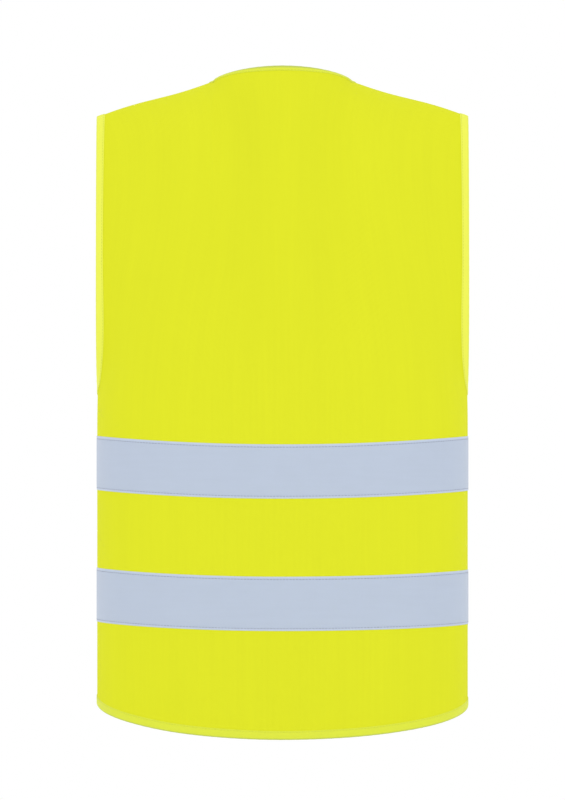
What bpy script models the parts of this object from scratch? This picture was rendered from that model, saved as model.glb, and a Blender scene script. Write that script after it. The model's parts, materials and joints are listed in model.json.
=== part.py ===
"""High-visibility vest, in the shape it takes when worn, with its front closed by two hook-and-loop tabs.

Frame: metres, +Z up, the wearer faces -Y and the wearer's left is +X. The origin lies midway between the two
points where the shoulder seams meet the neck, which is where the vest hangs on its wearer.
Every fabric surface is a sheet in the middle of its cloth, and each piece is built at offsets along its normal.
"""

import math

import bmesh
import bpy
from mathutils import Vector
from mathutils.bvhtree import BVHTree

# Outline of the vest
HALF_WIDTH = 0.1722  # side seam, from the middle plane
BACK_DEPTH = 0.104
FRONT_DEPTH = 0.112
HEM_LEVEL = -0.6103  # hem at the middle of the back and front
HEM_SIDE_RISE = 0.0235  # how much higher the hem is cut at the side seams
ROW_SIDE_RISE = 0.0075  # how much every straight row, such as a band, rises towards the sides
ARMHOLE_LEVEL = -0.2945
CORNER_FULLNESS = 0.72  # handles of the quarter section, 0.55 for a plain ellipse

# Shoulders and neck
SHOULDER_HALF = 0.1726
SHOULDER_TIP_Z = -0.0338
SHOULDER_WAVE = 0.0011
SEAM_Y = -0.003
SEAM_GAP = 0.0002
NECK_HALF = 0.064
NECK_SIDE_Z = -0.0005
NECK_BACK_RISE = 0.0122
NECK_RISE_FADE = 0.22  # how much softer the collar rises beside the neck than it is round in plan
NECK_BACK_DEPTH = 0.045
V_DEPTH = 0.160
V_BEND = 1.15
FRONT_EDGE_X = 0.0026
CURVE_OVER_DEPTH = 0.165  # below the top outline, how far the cloth takes to reach its full depth
CURVE_OVER_POWER = 1.8
COLLAR_FADE = 5.0  # how quickly the collar's round shape fades below it

# Armhole, halfway up: where its edge lies and how far the cloth there turns from facing straight back
ARMHOLE_MIDDLE_LEVEL = -0.205
TORSO_BLEND_LEVEL = -0.3394  # below it the section is the waist's
BACK_EDGE = (0.1726, 0.040, math.radians(36))
FRONT_EDGE = (0.1665, 0.050, math.radians(50))
EDGE_HANDLE = 0.070
MIDDLE_HANDLE = 0.090
ARMHOLE_BOTTOM_POWER = 0.6

# Cloth and trim, as offsets from the middle of the cloth
CLOTH = 0.0008
GAP = 0.00035
BAND_THICKNESS = 0.0005
BAND_WIDTH = 0.050
BAND_TOPS = {"upper": -0.3394, "lower": -0.4615}
BINDING_WIDTH = 0.008
NECK_BINDING_WIDTH = 0.006
BINDING_THICKNESS = 0.0007
BINDING_GAP = 0.0011  # the folded tape stands a little off the cloth's faces
SEAM_WIDTH = 0.008
SEAM_THICKNESS = 0.0006

# Fold that each front opens along: a straight line seen from the front, outside the cloth
FOLD_TOP = (0.044, -0.085)
FOLD_BOTTOM = (0.090, -0.600)
FOLD_GAP = 0.0006
HINGE_Y = -0.1145
FLAP_TOP_Z = -0.105
FLAP_TOP_GAP = 0.0050  # room for the flap's top to swing past the binding's end

# Closure
TAB_LEVELS = {"upper": -0.225, "lower": -0.431}
TAB_HEIGHT = 0.030
TAB_HINGE_X = -0.004
TAB_BASE_END_X = -0.030
TAB_TIP_X = 0.040
TAB_THICKNESS = 0.0008
TAB_BASE_OFFSET = 0.0026  # the tab lies over the front edge's binding
TAB_TIP_OFFSET = 0.0035  # and over the two patches
TAB_RAMP_END_X = 0.010
HOOK_PATCH_X = (0.0135, 0.036)
LOOP_PATCH_X = (0.0125, 0.043)
PATCH_HEIGHT = 0.024
PATCH_THICKNESS = 0.0008

# Labels
SIZE_LABEL_Z = (0.002, -0.018)
CARE_LABEL = (0.022, 0.050)
CARE_LABEL_TOP_Z = -0.520
CARE_LABEL_X = 0.1699
LABEL_THICKNESS = 0.0005

YELLOW = ("fluorescent_cloth", (0.76, 0.81, 0.03, 1.0), 0.85)
BINDING_YELLOW = ("binding_tape", (0.80, 0.87, 0.10, 1.0), 0.60)
SILVER = ("reflective_tape", (0.52, 0.60, 0.72, 1.0), 0.45)
HOOK_AND_LOOP = ("hook_and_loop", (0.74, 0.80, 0.05, 1.0), 0.90)
WHITE = ("label_satin", (0.85, 0.85, 0.83, 1.0), 0.50)


def smooth(value):
    value = min(1.0, max(0.0, value))
    return value * value * (3 - 2 * value)


def mix(a, b, share):
    return a + (b - a) * share


def bezier(p0, p1, p2, p3, t):
    u = 1 - t
    return tuple(
        u**3 * a + 3 * u * u * t * b + 3 * u * t * t * c + t**3 * d for a, b, c, d in zip(p0, p1, p2, p3)
    )


# The worn surface. Everything is worked out for the wearer's left half, x >= 0, and mirrored.


def collar(x, fade=0.0):
    """The collar's round shape, from 1 at the middle of the back to 0 beside the neck."""
    return (1 - (x / NECK_HALF) ** 2) ** (0.5 + fade) if x < NECK_HALF else 0.0


def top_height(x, fade=0.0):
    """Height of the vest's top outline: a low round collar, then the shoulder line."""
    share = min(1.0, max(0.0, (x - NECK_HALF) / (SHOULDER_HALF - NECK_HALF)))
    shoulder = mix(NECK_SIDE_Z, SHOULDER_TIP_Z, share) - SHOULDER_WAVE * math.sin(2 * math.pi * share)
    return shoulder + NECK_BACK_RISE * collar(x, fade + NECK_RISE_FADE)


def row_height(x, level):
    """Height of a straight row sewn or cut at that level."""
    share = min(1.0, x / HALF_WIDTH)
    near_hem = smooth((BAND_TOPS["lower"] - BAND_WIDTH - level) / (BAND_TOPS["lower"] - BAND_WIDTH - HEM_LEVEL))
    rise = ROW_SIDE_RISE * share**2
    return level + rise + near_hem * HEM_SIDE_RISE * (1 - math.sqrt(1 - share**2))


def waist_section(across, depth):
    """A quarter of the torso's section, from the middle (across 0) to the side seam (across 1)."""
    handle = CORNER_FULLNESS
    return bezier(
        (0, depth), (handle * HALF_WIDTH, depth), (HALF_WIDTH, handle * depth), (HALF_WIDTH, 0), across
    )


def armhole_section(across, depth, edge):
    """The section halfway up the armhole: a shallow arc that ends at the armhole's edge."""
    x, y, turn = edge
    before_edge = (x - EDGE_HANDLE * math.cos(turn), y + EDGE_HANDLE * math.sin(turn))
    return bezier((0, depth), (MIDDLE_HANDLE, depth), before_edge, (x, y), across)


def cloth_point(side, across, level):
    """A point in the middle of the cloth. side is 1 on the back and -1 on the front."""
    depth = BACK_DEPTH if side > 0 else FRONT_DEPTH
    edge_x, edge_y, turn = BACK_EDGE if side > 0 else FRONT_EDGE
    edge_x = mix(SHOULDER_HALF, edge_x, smooth(level / ARMHOLE_MIDDLE_LEVEL))
    upper_x, upper_y = armhole_section(across, depth, (edge_x, edge_y, turn))
    waist_x, waist_y = waist_section(across, depth)
    roundness = 1 + smooth(upper_x / 0.090)
    drop = min(1.0, level / ARMHOLE_LEVEL) ** roundness
    climb = min(1.0, (1 - drop) * ARMHOLE_LEVEL / (ARMHOLE_LEVEL - ARMHOLE_MIDDLE_LEVEL))
    middle = smooth((level - TORSO_BLEND_LEVEL) / (ARMHOLE_MIDDLE_LEVEL - TORSO_BLEND_LEVEL))
    share = mix(middle, (1 - (1 - climb) ** 2) ** ARMHOLE_BOTTOM_POWER, across**6)
    x, y = mix(waist_x, upper_x, share), mix(waist_y, upper_y, share)
    if level <= ARMHOLE_LEVEL:
        return Vector((x, side * y, row_height(x, level)))
    z = mix(top_height(x), row_height(x, ARMHOLE_LEVEL), drop)
    fade = COLLAR_FADE * (top_height(x) - z) / CURVE_OVER_DEPTH
    under_top = min(1.0, (top_height(x, fade) - z) / CURVE_OVER_DEPTH)
    share = (1 - (1 - under_top) ** CURVE_OVER_POWER) ** (1 / roundness)
    top_y = SEAM_GAP + (NECK_BACK_DEPTH * collar(x, fade) if side > 0 else 0.0)
    return Vector((x, SEAM_Y * (1 - share) + side * mix(top_y, y, share), z))


def cloth_frame(side, across, level):
    """The point and the outward normal there."""
    step = 0.002
    a0, a1 = max(0.0, across - step), min(1.0, across + step)
    l0, l1 = max(HEM_LEVEL - 0.02, level - step), min(-1e-6, level + step)
    along = cloth_point(side, a1, level) - cloth_point(side, a0, level)
    up = cloth_point(side, across, l1) - cloth_point(side, across, l0)
    return cloth_point(side, across, level), (up.cross(along) * side).normalized()


def v_edge_x(z):
    """Distance of the front's free edge from the middle: the V of the neckline, then straight down."""
    fall = min(1.0, max(0.0, (NECK_SIDE_Z - z) / V_DEPTH))
    return mix(NECK_HALF, FRONT_EDGE_X, fall**V_BEND)


def fold_x(z):
    (x0, z0), (x1, z1) = FOLD_TOP, FOLD_BOTTOM
    return mix(x0, x1, (z - z0) / (z1 - z0))


def across_where(side, level, line):
    """Where a row crosses a line given as x at each height."""
    low, high = 0.0, 1.0
    for _ in range(40):
        middle = (low + high) / 2
        point = cloth_point(side, middle, level)
        if point.x < line(point.z):
            low = middle
        else:
            high = middle
    return high


def front_edge_across(level):
    return across_where(-1, level, v_edge_x)


def fold_across(level, gap=0.0):
    return max(front_edge_across(level), across_where(-1, level, lambda z: fold_x(z) + gap))


# Rows and columns of the panels' grids, which every piece on them follows


def spread(low, high, count):
    return [mix(low, high, i / count) for i in range(count + 1)]


TOP_ROWS = [0.0, -0.006, -0.013, -0.021, -0.030, -0.040, -0.051, -0.063, -0.076, -0.090, -0.106, -0.122]
ARMHOLE_ROWS = [-0.138, -0.155, -0.175, -0.198, -0.222, -0.244, -0.262, -0.276, -0.286, -0.2915, ARMHOLE_LEVEL]
BODY_ROWS = [-0.3025, -0.322, -0.3394, -0.3894, -0.4255, -0.4615, -0.5115, -0.534, -0.555, -0.575, -0.592]
HEM_ROWS = [HEM_LEVEL + 0.008, HEM_LEVEL]
ROWS = TOP_ROWS + ARMHOLE_ROWS + BODY_ROWS + HEM_ROWS
SIDE_END = 0.9965  # the panels end just short of the side seam and of the armhole's outline
NECK_ANGLES = (11, 25, 38, 50, 61, 71, 81, 90)
SIDE_STEPS = 8
FLAP_STEPS = 5
ROW_MARGIN = 0.002  # the least distance between two rows near the flap's top


def level_at_v(z):
    """The level of the row that meets the front's free edge at that height."""
    low, high = HEM_LEVEL, -1e-4
    for _ in range(40):
        middle = (low + high) / 2
        if cloth_point(-1, front_edge_across(middle), middle).z < z:
            low = middle
        else:
            high = middle
    return high


V_BOTTOM_LEVEL = level_at_v(NECK_SIDE_Z - V_DEPTH)


def level_at(side, x, z):
    """The row that passes a point of the cloth, given as seen from the front."""
    low, high = HEM_LEVEL, -1e-4
    for _ in range(40):
        middle = (low + high) / 2
        if cloth_point(side, across_where(side, middle, lambda _: x), middle).z < z:
            low = middle
        else:
            high = middle
    return high


FLAP_TOP_LEVEL = level_at_v(FLAP_TOP_Z)
FOLD_TOP_LEVEL = level_at(-1, fold_x(FLAP_TOP_Z), FLAP_TOP_Z)


def back_columns():
    """The back's columns: they meet the neckline evenly round its curve, with one at its end."""
    neck = [across_where(1, 0.0, lambda z, a=a: NECK_HALF * math.sin(math.radians(a))) for a in NECK_ANGLES]
    return neck + spread(neck[-1], SIDE_END, SIDE_STEPS)[1:]


def fixed_start(level):
    """Where the front's fixed side begins: at the neckline, and further down at the fold."""
    if level >= FLAP_TOP_LEVEL:
        return front_edge_across(level)
    return fold_across(level, FOLD_GAP / 2)


def side_frames(levels, columns=SIDE_STEPS):
    return [
        [cloth_frame(-1, a, level) for a in spread(fixed_start(level), SIDE_END, columns)] for level in levels
    ]


def flap_frames(levels, margin=0.0):
    """Frames over the front's opening side, from a margin inside its free edge to the fold."""
    rows = []
    for level in levels:
        start = across_where(-1, level, lambda z: v_edge_x(z) + margin)
        end = fold_across(level, -FOLD_GAP / 2)
        rows.append([cloth_frame(-1, a, level) for a in spread(start, end, FLAP_STEPS)])
    return rows


def flap_top_row():
    """The flap's top edge, straight across from its free edge to the fold."""
    z = FLAP_TOP_Z - FLAP_TOP_GAP
    row = []
    for x in spread(v_edge_x(z), fold_x(z) - FOLD_GAP / 2, FLAP_STEPS):
        level = level_at(-1, x, z)
        row.append(cloth_frame(-1, across_where(-1, level, lambda _, x=x: x), level))
    return row


def mirrored_row(row):
    return [(Vector((-p.x, p.y, p.z)), Vector((-n.x, n.y, n.z))) for p, n in row[::-1]]


def back_frames(levels):
    left = [[cloth_frame(1, a, level) for a in back_columns()] for level in levels]
    return [mirrored_row(row) + row for row in left]


# Building solids


def material(look):
    name, colour, roughness = look
    made = bpy.data.materials.get(name)
    if made is None:
        made = bpy.data.materials.new(name)
        made.use_nodes = True
        shader = made.node_tree.nodes["Principled BSDF"]
        shader.inputs["Base Color"].default_value = colour
        shader.inputs["Roughness"].default_value = roughness
        shader.inputs["Metallic"].default_value = 0.0
    return made


def cap(mesh, ring):
    """Closes the end of a ring made of two facing rows with a strip between them."""
    for i in range(len(ring) // 2 - 1):
        mesh.faces.new((ring[i], ring[i + 1], ring[-2 - i], ring[-1 - i]))


def solid(name, rings, look, hinge=None, mirrored=False, closed=False):
    """One solid through rings of points, with its ends capped unless it closes on itself."""
    mesh = bmesh.new()
    flip = -1 if mirrored else 1
    made = [[mesh.verts.new((flip * p.x, p.y, p.z)) for p in ring] for ring in rings]
    for ring, following in zip(made, made[1:] + (made[:1] if closed else [])):
        for i in range(len(ring)):
            j = (i + 1) % len(ring)
            mesh.faces.new((ring[i], ring[j], following[j], following[i]))
    if not closed:
        cap(mesh, made[0])
        cap(mesh, made[-1])
    bmesh.ops.triangulate(mesh, faces=mesh.faces[:], quad_method="SHORT_EDGE")
    bmesh.ops.recalc_face_normals(mesh, faces=mesh.faces[:])
    data = bpy.data.meshes.new(name)
    mesh.to_mesh(data)
    mesh.free()
    data.materials.append(material(look))
    data.shade_smooth()
    data.set_sharp_from_angle(angle=math.radians(40))
    made_object = bpy.data.objects.new(name, data)
    bpy.context.scene.collection.objects.link(made_object)
    if hinge:
        data.transform(hinge.matrix_world.inverted())
        made_object.parent = hinge
    return made_object


def sheet(name, frames, low, high, look, **place):
    """A sheet of cloth between two offsets from the middle surface."""
    outer = [[p + n * high for p, n in row] for row in frames]
    inner = [[p + n * low for p, n in row] for row in frames]
    return solid(name, [a + b[::-1] for a, b in zip(outer, inner)], look, **place)


def cloth_finder(*grids):
    """The panels' middle surface with its own facets, for finding the nearest point of the cloth."""
    points, faces = [], []
    for frames in grids:
        start, wide = len(points), len(frames[0])
        points += [p for row in frames for p, _ in row]
        for i in range(len(frames) - 1):
            for corner in range(start + i * wide, start + i * wide + wide - 1):
                faces.append((corner, corner + 1, corner + wide + 1, corner + wide))
    return BVHTree.FromPolygons(points, faces)


def on_cloth(finder, point, outward):
    place, normal, _, _ = finder.find_nearest(point)
    return place, (normal if normal.dot(outward) > 0 else -normal)


def with_middles(edge):
    """The same edge with one more station in the middle of each stretch."""
    finer = []
    for (p, n), (q, m) in zip(edge, edge[1:]):
        finer += [(p, n), ((p + q) / 2, (n + m).normalized())]
    return finer + edge[-1:]


def binding_rings(finder, edge, looped=False, steps=1, width=BINDING_WIDTH):
    """A tape folded round an edge, as rings of its U section. The edge is a list of frames walked with the cloth
    on its left, as seen from outside. The steps are across the tape's width."""
    inside = CLOTH / 2 + BINDING_GAP
    outside = inside + BINDING_THICKNESS
    rings = []
    for i, (p, n) in enumerate(edge):
        before = edge[i - 1 if looped or i else 0][0]
        after = edge[(i + 1) % len(edge) if looped else min(i + 1, len(edge) - 1)][0]
        inward = n.cross(after - before).normalized()
        across = [on_cloth(finder, p + inward * width * k / steps, n) for k in range(steps, 0, -1)]
        sections = []
        for beyond, offset in ((GAP + BINDING_THICKNESS, outside), (GAP, inside)):
            upper = [q + m * offset for q, m in across] + [p - inward * beyond + n * offset]
            lower = [q - m * offset for q, m in across] + [p - inward * beyond - n * offset]
            sections.append(upper + lower[::-1])
        rings.append(sections[0] + sections[1][::-1])
    return rings


def mirrored_rings(rings):
    return [[Vector((-p.x, p.y, p.z)) for p in ring] for ring in rings[::-1]]


def hinge_at(name, place, parent=None):
    empty = bpy.data.objects.new(name, None)
    empty.hide_render = True
    empty.display_type = "WIRE"
    bpy.context.scene.collection.objects.link(empty)
    empty.parent = parent
    empty.location = Vector(place) - (parent.location if parent else Vector())
    bpy.context.view_layer.update()
    return empty


def box(name, low, high, look, hinge=None):
    (x0, y0, z0), (x1, y1, z1) = low, high
    rings = [[Vector((x, y, z)) for x, y in ((x0, y0), (x1, y0), (x1, y1), (x0, y1))] for z in (z0, z1)]
    return solid(name, rings, look, hinge=hinge)


# The pieces


def front_rows():
    """The rows of the fixed side, which also covers what lies above the flap, and those of the flap."""
    above = [row for row in ROWS if row > FLAP_TOP_LEVEL + ROW_MARGIN]
    below = [row for row in ROWS if row < FOLD_TOP_LEVEL - ROW_MARGIN]
    flap = [row for row in below if row < FOLD_TOP_LEVEL - FLAP_TOP_GAP - ROW_MARGIN]
    return above + [FLAP_TOP_LEVEL, FOLD_TOP_LEVEL] + below, flap


def flap_cloth(flap_rows):
    return [flap_top_row()] + flap_frames(flap_rows)


def build_back():
    sheet("back_panel", back_frames(ROWS), -CLOTH / 2, CLOTH / 2, YELLOW)
    low = CLOTH / 2 + GAP
    for which, top in BAND_TOPS.items():
        sheet(f"back_{which}_band", back_frames([top, top - BAND_WIDTH]), low, low + BAND_THICKNESS, SILVER)


def build_front(side_name, mirrored, hinge, finder):
    side_rows, flap_rows = front_rows()
    place = {"mirrored": mirrored}
    sheet(f"{side_name}_front_side", side_frames(side_rows), -CLOTH / 2, CLOTH / 2, YELLOW, **place)
    place_on_flap = {"mirrored": mirrored, "hinge": hinge}
    cloth = flap_cloth(flap_rows)
    sheet(f"{side_name}_front_flap", cloth, -CLOTH / 2, CLOTH / 2, YELLOW, **place_on_flap)
    low = CLOTH / 2 + GAP
    high = low + BAND_THICKNESS
    margin = BINDING_WIDTH + GAP
    for which, top in BAND_TOPS.items():
        levels = [top, top - BAND_WIDTH]
        sheet(f"{side_name}_side_{which}_band", side_frames(levels), low, high, SILVER, **place)
        sheet(f"{side_name}_flap_{which}_band", flap_frames(levels, margin), low, high, SILVER, **place_on_flap)
    edge = [row[0] for row in cloth]
    slanted = 1 + sum(row > V_BOTTOM_LEVEL - 0.01 for row in flap_rows)
    rings = binding_rings(finder, with_middles(edge[:slanted]) + edge[slanted:], steps=2)
    solid(f"{side_name}_front_edge_binding", rings, BINDING_YELLOW, **place_on_flap)
    hem = flap_frames([HEM_LEVEL], margin + GAP)[0]
    rings = binding_rings(finder, hem)
    solid(f"{side_name}_flap_hem_binding", rings, BINDING_YELLOW, **place_on_flap)


def build_bindings(finder):
    side_rows, _ = front_rows()
    fixed_front = side_frames(side_rows)
    half = len(NECK_ANGLES) + SIDE_STEPS
    back = back_frames([0.0])[0][half - 1 : half + len(NECK_ANGLES)]
    front = [row[0] for row, level in zip(fixed_front, side_rows) if 0 > level >= FLAP_TOP_LEVEL]
    edge = with_middles(with_middles(back) + front)
    rings = binding_rings(finder, edge, steps=3, width=NECK_BINDING_WIDTH)[4:]
    solid("neck_binding", mirrored_rings(rings) + rings, BINDING_YELLOW)
    back = back_frames([HEM_LEVEL])[0][half - 1 : -1][::-1]
    seam = cloth_frame(1, 1.0, HEM_LEVEL)
    rings = binding_rings(finder, fixed_front[-1][:-1] + [seam] + back)[:-1]
    solid("hem_binding", rings + mirrored_rings(rings), BINDING_YELLOW)
    above = [i for i, level in enumerate(side_rows) if ARMHOLE_LEVEL < level < 0]
    front = [fixed_front[i][-1] for i in above]
    back = [row[-1] for row in back_frames([row for row in ROWS if row > ARMHOLE_LEVEL])]
    bottom = (cloth_point(1, 1.0, ARMHOLE_LEVEL), Vector((1.0, 0.0, 0.0)))
    rings = binding_rings(finder, back + [bottom] + front[::-1], looped=True)
    solid("left_armhole_binding", rings, BINDING_YELLOW, closed=True)
    solid("right_armhole_binding", rings, BINDING_YELLOW, mirrored=True, closed=True)


def build_seams(finder):
    """The overlocked allowance inside each seam."""
    low = -CLOTH / 2 - GAP - SEAM_THICKNESS
    across = spread(-SEAM_WIDTH / 2, SEAM_WIDTH / 2, 4)
    side, shoulder = [], []
    for level in [ARMHOLE_LEVEL - 0.012] + BODY_ROWS[1:] + [HEM_LEVEL + 0.012]:
        place = Vector((HALF_WIDTH, 0, row_height(HALF_WIDTH, level)))
        side.append([on_cloth(finder, place + Vector((0, y, 0)), Vector((1, 0, 0))) for y in across])
    for x in spread(NECK_HALF + 0.012, SHOULDER_HALF - 0.012, 8):
        place = Vector((x, SEAM_Y, top_height(x)))
        shoulder.append([on_cloth(finder, place + Vector((0, y, 0)), Vector((0, 0, 1))) for y in across])
    for name, frames in (("side_seam", side), ("shoulder_seam", shoulder)):
        for side_name, mirrored in (("left", False), ("right", True)):
            sheet(f"{side_name}_{name}", frames, low, low + SEAM_THICKNESS, YELLOW, mirrored=mirrored)


def patch_frames(middle_z, x_low, x_high, height, columns):
    """Frames over a small patch near the front's middle, with x measured from the middle plane."""
    rows = []
    for z in (middle_z + height / 2, middle_z - height / 2):
        row = []
        for x in spread(x_low, x_high, columns):
            level = level_at(-1, abs(x), z)
            p, n = cloth_frame(-1, across_where(-1, level, lambda _, x=x: abs(x)), level)
            flip = -1 if x < 0 else 1
            row.append((Vector((flip * p.x, p.y, p.z)), Vector((flip * n.x, n.y, n.z))))
        rows.append(row)
    return rows


def build_closure(hinges, right_hinge, left_hinge):
    """Two tabs sewn to the wearer's right front, which reach over the opening onto loop patches."""
    for which, z in TAB_LEVELS.items():
        base = patch_frames(z, TAB_BASE_END_X, TAB_HINGE_X - GAP / 2, TAB_HEIGHT, 3)
        low = TAB_BASE_OFFSET
        sheet(f"{which}_tab_base", base, low, low + TAB_THICKNESS, YELLOW, hinge=right_hinge)
        free = patch_frames(z, TAB_HINGE_X + GAP / 2, TAB_TIP_X, TAB_HEIGHT, 8)
        lifted = []
        for row in free:
            ramp = [smooth((p.x - TAB_HINGE_X) / (TAB_RAMP_END_X - TAB_HINGE_X)) for p, _ in row]
            lifted.append([(p + n * mix(low, TAB_TIP_OFFSET, r), n) for (p, n), r in zip(row, ramp)])
        sheet(f"{which}_tab", lifted, 0.0, TAB_THICKNESS, YELLOW, hinge=hinges[which])
        hook = patch_frames(z, *HOOK_PATCH_X, PATCH_HEIGHT, 3)
        high = TAB_TIP_OFFSET - GAP
        sheet(f"{which}_hook_patch", hook, high - PATCH_THICKNESS, high, HOOK_AND_LOOP, hinge=hinges[which])
        loop = patch_frames(z, *LOOP_PATCH_X, PATCH_HEIGHT, 3)
        low = CLOTH / 2 + GAP
        sheet(f"{which}_loop_patch", loop, low, low + PATCH_THICKNESS, HOOK_AND_LOOP, hinge=left_hinge)


def build_labels(care_hinge):
    top, bottom = SIZE_LABEL_Z
    half = len(NECK_ANGLES) + SIDE_STEPS
    rows = [row[half - 1 : half + 1] for row in back_frames([level_at(1, 0.005, z) for z in (top, bottom)])]
    high = -CLOTH / 2 - GAP
    sheet("size_label", rows, high - LABEL_THICKNESS, high, WHITE)
    width, height = CARE_LABEL
    low = (CARE_LABEL_X - LABEL_THICKNESS, -width, CARE_LABEL_TOP_Z - height)
    box("care_label", low, (CARE_LABEL_X, 0.0, CARE_LABEL_TOP_Z), WHITE, hinge=care_hinge)


def build():
    for old in list(bpy.data.objects):
        bpy.data.objects.remove(old, do_unlink=True)
    side_rows, flap_rows = front_rows()
    finder = cloth_finder(back_frames(ROWS), side_frames(side_rows), flap_cloth(flap_rows))
    middle_z = (FOLD_TOP[1] + FOLD_BOTTOM[1]) / 2
    left_hinge = hinge_at("left_front_hinge", (fold_x(middle_z), HINGE_Y, middle_z))
    right_hinge = hinge_at("right_front_hinge", (-fold_x(middle_z), HINGE_Y, middle_z))
    tab_y = -FRONT_DEPTH - TAB_BASE_OFFSET - TAB_THICKNESS
    tab_hinges = {
        which: hinge_at(f"{which}_tab_hinge", (TAB_HINGE_X, tab_y, z), right_hinge) for which, z in TAB_LEVELS.items()
    }
    care_z = CARE_LABEL_TOP_Z - CARE_LABEL[1] / 2
    care_hinge = hinge_at("care_label_hinge", (CARE_LABEL_X, 0.0, care_z))
    build_back()
    build_front("left", False, left_hinge, finder)
    build_front("right", True, right_hinge, finder)
    build_bindings(finder)
    build_seams(finder)
    build_closure(tab_hinges, right_hinge, left_hinge)
    build_labels(care_hinge)


build()
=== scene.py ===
"""High-visibility vest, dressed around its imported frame.

The cloth follows the same worn surface as the frame's panels, with a soft drape added. Every layer on it,
from the reflective tape to the last stitch, is placed from that one surface, so all of them bend together.
Metres, +Z up, the wearer faces -Y and the wearer's left is +X.
"""

import json
import math

import bmesh
import bpy
import numpy as np
from mathutils.bvhtree import BVHTree
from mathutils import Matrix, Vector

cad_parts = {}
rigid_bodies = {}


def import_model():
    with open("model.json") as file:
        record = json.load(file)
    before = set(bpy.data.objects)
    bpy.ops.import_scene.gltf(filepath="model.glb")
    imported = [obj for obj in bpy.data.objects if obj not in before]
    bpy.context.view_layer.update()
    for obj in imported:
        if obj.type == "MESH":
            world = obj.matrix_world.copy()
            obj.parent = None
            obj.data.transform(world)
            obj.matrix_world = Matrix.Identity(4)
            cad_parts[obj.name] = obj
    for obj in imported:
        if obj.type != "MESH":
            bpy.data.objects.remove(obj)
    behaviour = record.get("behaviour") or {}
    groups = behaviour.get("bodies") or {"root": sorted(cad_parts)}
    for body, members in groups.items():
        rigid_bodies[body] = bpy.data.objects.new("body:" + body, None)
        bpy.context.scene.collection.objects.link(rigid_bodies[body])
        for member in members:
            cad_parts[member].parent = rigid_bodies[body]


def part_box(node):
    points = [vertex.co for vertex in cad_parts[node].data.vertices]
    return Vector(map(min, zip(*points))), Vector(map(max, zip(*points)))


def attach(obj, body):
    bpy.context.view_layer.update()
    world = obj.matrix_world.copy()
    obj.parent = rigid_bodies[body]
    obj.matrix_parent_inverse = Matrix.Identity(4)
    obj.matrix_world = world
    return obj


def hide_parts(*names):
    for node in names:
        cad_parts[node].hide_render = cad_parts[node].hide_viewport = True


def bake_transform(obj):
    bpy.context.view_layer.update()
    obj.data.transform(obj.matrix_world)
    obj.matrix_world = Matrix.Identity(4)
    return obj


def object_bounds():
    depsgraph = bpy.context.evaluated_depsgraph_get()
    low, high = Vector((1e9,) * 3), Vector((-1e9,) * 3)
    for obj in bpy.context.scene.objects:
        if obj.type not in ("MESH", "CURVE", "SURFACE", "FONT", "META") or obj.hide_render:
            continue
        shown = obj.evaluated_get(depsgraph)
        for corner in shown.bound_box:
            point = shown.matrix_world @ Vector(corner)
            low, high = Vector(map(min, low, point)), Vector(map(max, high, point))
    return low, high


for old in list(bpy.data.objects):
    bpy.data.objects.remove(old, do_unlink=True)
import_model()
CAD_BOX = [list(corner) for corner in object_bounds()]
RANDOM = np.random.default_rng(7)

# Outline of the worn surface, as in the frame
HALF_WIDTH = 0.1722
BACK_DEPTH = 0.104
FRONT_DEPTH = 0.112
HEM_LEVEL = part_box("back_panel")[0].z
HEM_SIDE_RISE = 0.0235
ROW_SIDE_RISE = 0.0075
ARMHOLE_LEVEL = -0.2945
CORNER_FULLNESS = 0.72
SHOULDER_HALF = 0.1726
SHOULDER_TIP_Z = -0.0338
SHOULDER_WAVE = 0.0011
SEAM_Y = -0.003
NECK_HALF = 0.064
NECK_SIDE_Z = -0.0005
NECK_BACK_RISE = 0.0122
NECK_RISE_FADE = 0.22
NECK_BACK_DEPTH = 0.045
V_DEPTH = 0.160
V_BEND = 1.15
FRONT_EDGE_X = 0.0026
CURVE_OVER_DEPTH = 0.165
CURVE_OVER_POWER = 1.8
COLLAR_FADE = 5.0
COLLAR_SOFT = 0.16
ARMHOLE_MIDDLE_LEVEL = -0.205
TORSO_BLEND_LEVEL = -0.3394
BACK_EDGE = (0.1726, 0.040, math.radians(36))
FRONT_EDGE = (0.1665, 0.050, math.radians(50))
EDGE_HANDLE = 0.070
MIDDLE_HANDLE = 0.090
ARMHOLE_BOTTOM_POWER = 0.6
SHOULDER_LEAN = 0.0003
SHOULDER_LIFT = 0.0001
HEM_LEAN = 0.0012
HEM_SAG = 0.0009
SIDE_SAG = 0.0021
SIDE_EASE = 0.0005
FOLD_HEIGHT = 0.001
FOLDS_FROM = -0.09
HEM_FREE_FROM = -0.50
STENCIL = 0.002

# Layers, as heights over the middle of the cloth, and where the tapes lie
HALF_CLOTH = 0.0004
TAPE_UNDER = 0.00047
TAPE_OVER = 0.00088
TAPE_ROUNDING = 0.00012
BINDING_UNDER = 0.00052
BAND_WIDTH = 0.050
BAND_TOPS = {which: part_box(f"back_{which}_band")[0].z + BAND_WIDTH for which in ("upper", "lower")}
STITCH_INSETS = (0.0026, 0.0021)
BINDING_WIDTHS = {"hem": 0.0074, "armhole": 0.0073, "neck": 0.0050, "edge": [0.0050, 0.0065] + [0.0080] * 6}

BACK, FRONT = 1, -1
HANDS = {"left": 1, "right": -1}


def smooth(value):
    value = np.clip(value, 0, 1)
    return value * value * (3 - 2 * value)


def mix(a, b, share):
    return a + (b - a) * share


def unit(vectors):
    return vectors / np.maximum(np.linalg.norm(vectors, axis=-1, keepdims=True), 1e-12)


def joined(*parts):
    return np.stack(parts, axis=-1)


def matched(*values):
    return np.broadcast_arrays(*(np.asarray(value, float) for value in values))


def bezier(points, t):
    u = 1 - t
    shares = (u**3, 3 * u * u * t, 3 * u * t * t, t**3)
    return [sum(share * point[axis] for share, point in zip(shares, points)) for axis in (0, 1)]


# The worn surface, for the wearer's left half


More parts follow.
